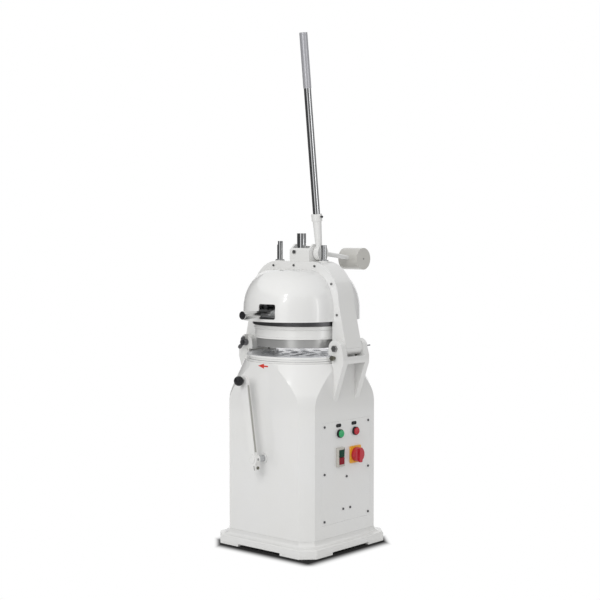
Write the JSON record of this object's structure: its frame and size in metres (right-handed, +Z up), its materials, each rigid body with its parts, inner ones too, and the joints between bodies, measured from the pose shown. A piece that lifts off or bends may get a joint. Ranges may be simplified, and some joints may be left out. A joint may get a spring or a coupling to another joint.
{
  "type": "divider rounder",
  "caption": "Bakery divider rounder: square cabinet with an orbiting moulding table, a tilting press head under half domes, a long press lever with a counterweight, and a rounding lever.",
  "frame": {"origin": "on the floor under the press axis, in the middle of the plinth", "axes": "+Z up, front with the rounding lever towards -Y, control panel on +X"},
  "size_m": [0.576, 0.6596, 2.101],
  "materials": {
    "white_enamel": "gloss enamel",
    "white_casting": "gloss enamel over a casting",
    "coated_aluminium": "white coated",
    "bare_aluminium": "machined",
    "chrome": "polished",
    "steel": "machined",
    "dark_steel": "blackened",
    "grey_plastic": "satin",
    "box_plastic": "satin",
    "black_plastic": "gloss",
    "green_plastic": "gloss",
    "red_plastic": "gloss",
    "yellow_plastic": "gloss",
    "belt_rubber": "matt",
    "motor_paint": "satin",
    "cast_weight": "gloss enamel",
    "cast_grey": "machined"
  },
  "bodies": {
    "base": {"base_plinth": "white_casting", "cabinet_shell": "white_enamel", "control_panel": "white_enamel", "panel_screws": "steel", "table_rim": "white_enamel", "hinge_bracket_left": "white_casting", "hinge_bracket_right": "white_casting", "bracket_bolts": "dark_steel", "hinge_pin_right": "dark_steel", "drive_plate": "steel", "bearing_housing": "cast_grey", "shaft_bearings": "steel", "drive_motor": "motor_paint", "drive_belt": "belt_rubber", "rounding_bush": "steel", "electrical_box": "box_plastic", "button_bezels": "black_plastic", "key_block": "grey_plastic", "main_switch_plate": "yellow_plastic", "label_plates": "black_plastic", "cable_gland": "black_plastic"},
    "head": {"head_yoke": "white_casting", "front_cover": "white_enamel", "rear_cover": "white_enamel", "cover_screws": "steel", "pinion_housing": "white_casting", "guide_bushes": "steel", "locking_pin_left": "dark_steel", "cutter_shelf": "dark_steel"},
    "press_lever": {"lever_socket": "white_casting", "lever_tube": "chrome", "lever_grip": "grey_plastic", "lever_set_bolt": "dark_steel", "counterweight_rod": "white_enamel", "counterweight": "cast_weight", "pinion_shaft": "steel"},
    "press": {"press_spindle": "chrome", "press_crosshead": "bare_aluminium", "guide_rods": "chrome", "press_ring": "coated_aluminium", "press_sleeve": "bare_aluminium", "press_stamps": "bare_aluminium"},
    "knives": {"knife_grid": "steel"},
    "cutter": {"cutter_ring": "steel", "cutter_handle": "bare_aluminium"},
    "rounding_lever": {"rounding_shaft": "steel", "rounding_arm": "white_enamel", "rounding_knob": "black_plastic"},
    "eccentric": {"eccentric_shaft": "steel", "shaft_pulley": "cast_grey"},
    "table": {"rounding_table": "coated_aluminium", "moulding_plate": "bare_aluminium"},
    "motor_rotor": {"motor_pulley": "cast_grey"},
    "green_push": {"green_button": "green_plastic"},
    "red_push": {"red_button": "red_plastic"},
    "start_push": {"start_key": "green_plastic"},
    "stop_push": {"stop_key": "red_plastic"},
    "main_switch": {"main_switch_knob": "red_plastic"},
    "left_nut": {"wing_nut_left": "dark_steel"},
    "right_nut": {"wing_nut_right": "dark_steel"}
  },
  "joints": [
    {"name": "head_tilt", "type": "hinge", "parent": "base", "child": "head", "pos_m": [0.245, 0, 0.827], "axis": [0, 1, 0], "range_deg": [0, 75]},
    {"name": "lever_pull", "type": "hinge", "parent": "head", "child": "press_lever", "pos_m": [0.084, 0.024, 1.208], "axis": [1, 0, 0], "range_deg": [0, 85]},
    {"name": "press_slide", "type": "slide", "parent": "head", "child": "press", "axis": [0, 0, -1], "range_m": [0, 0.0225]},
    {"name": "cutter_turn", "type": "hinge", "parent": "head", "child": "cutter", "pos_m": [0, 0, 0.964], "axis": [0, 0, 1], "range_deg": [0, 12]},
    {"name": "knife_drop", "type": "slide", "parent": "press", "child": "knives", "axis": [0, 0, -1], "range_m": [0, 0.0081]},
    {"name": "rounding_pull", "type": "hinge", "parent": "base", "child": "rounding_lever", "pos_m": [0.001, -0.3, 0.378], "axis": [0, 1, 0], "range_deg": [0, 60]},
    {"name": "eccentric_spin", "type": "hinge", "parent": "base", "child": "eccentric", "pos_m": [0, 0, 0.68], "axis": [0, 0, 1], "continuous": true},
    {"name": "table_orbit", "type": "hinge", "parent": "eccentric", "child": "table", "pos_m": [0.00525, -0.00604, 0.755], "axis": [0, 0, 1], "continuous": true},
    {"name": "motor_spin", "type": "hinge", "parent": "base", "child": "motor_rotor", "pos_m": [-0.14, 0.12, 0.6], "axis": [0, 0, 1], "continuous": true},
    {"name": "green_press", "type": "slide", "parent": "base", "child": "green_push", "axis": [-1, 0, 0], "range_m": [0, 0.004], "stiffness_N_per_m": 300, "springref_m": -0.003},
    {"name": "red_press", "type": "slide", "parent": "base", "child": "red_push", "axis": [-1, 0, 0], "range_m": [0, 0.004], "stiffness_N_per_m": 300, "springref_m": -0.003},
    {"name": "start_press", "type": "slide", "parent": "base", "child": "start_push", "axis": [-1, 0, 0], "range_m": [0, 0.003], "stiffness_N_per_m": 300, "springref_m": -0.003},
    {"name": "stop_press", "type": "slide", "parent": "base", "child": "stop_push", "axis": [-1, 0, 0], "range_m": [0, 0.003], "stiffness_N_per_m": 300, "springref_m": -0.003},
    {"name": "main_switch_turn", "type": "hinge", "parent": "base", "child": "main_switch", "pos_m": [0.242, 0.062, 0.383], "axis": [1, 0, 0], "range_deg": [0, 90]},
    {"name": "left_nut_spin", "type": "hinge", "parent": "head", "child": "left_nut", "pos_m": [-0.245, -0.095, 0.827], "axis": [0, 1, 0], "continuous": true},
    {"name": "right_nut_spin", "type": "hinge", "parent": "base", "child": "right_nut", "pos_m": [0.245, 0.098, 0.827], "axis": [0, 1, 0], "continuous": true}
  ],
  "couplings": [
    {"joint": "press_slide", "follows": "lever_pull", "m_per_rad": 0.015},
    {"joint": "knife_drop", "follows": "cutter_turn", "m_per_rad": 0.038197},
    {"joint": "table_orbit", "follows": "eccentric_spin", "ratio": -1},
    {"joint": "motor_spin", "follows": "eccentric_spin", "ratio": 2.3438}
  ]
}
